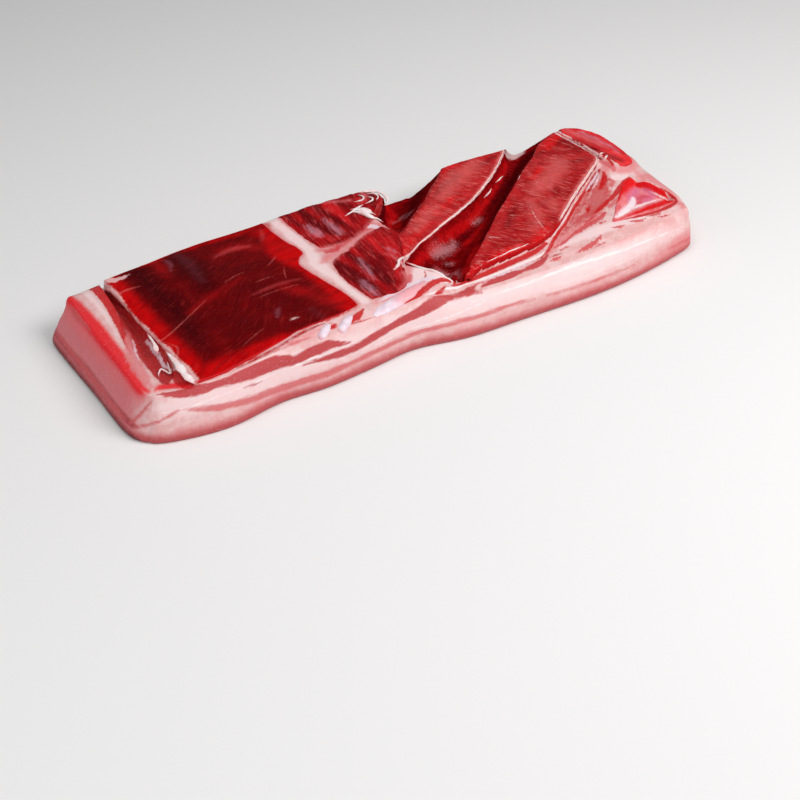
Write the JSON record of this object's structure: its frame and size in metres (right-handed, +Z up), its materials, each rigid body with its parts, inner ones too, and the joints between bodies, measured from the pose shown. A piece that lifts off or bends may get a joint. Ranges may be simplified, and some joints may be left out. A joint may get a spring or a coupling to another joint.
{
  "type": "pork belly slab",
  "caption": "Slab of raw pork belly on its rind, rib side up, with folded muscle leaves, a crease at the fat end and rib cartilage showing near the front edge.",
  "frame": {"origin": "under the middle of the slab, on the flat rind face that it lies on", "axes": "+X along the slab from the plain fat end to the folded end, +Y from the layered front side to the back side, +Z up out of the rib side"},
  "size_m": [0.47, 0.1714, 0.0375],
  "materials": {
    "belly_meat": "raw meat and fat, moist and satin",
    "cartilage": "smooth, bluish white and moist"
  },
  "bodies": {
    "root": {"pork_belly_slab": "belly_meat", "costal_cartilage_1": "cartilage", "costal_cartilage_2": "cartilage", "costal_cartilage_3": "cartilage"}
  },
  "joints": []
}
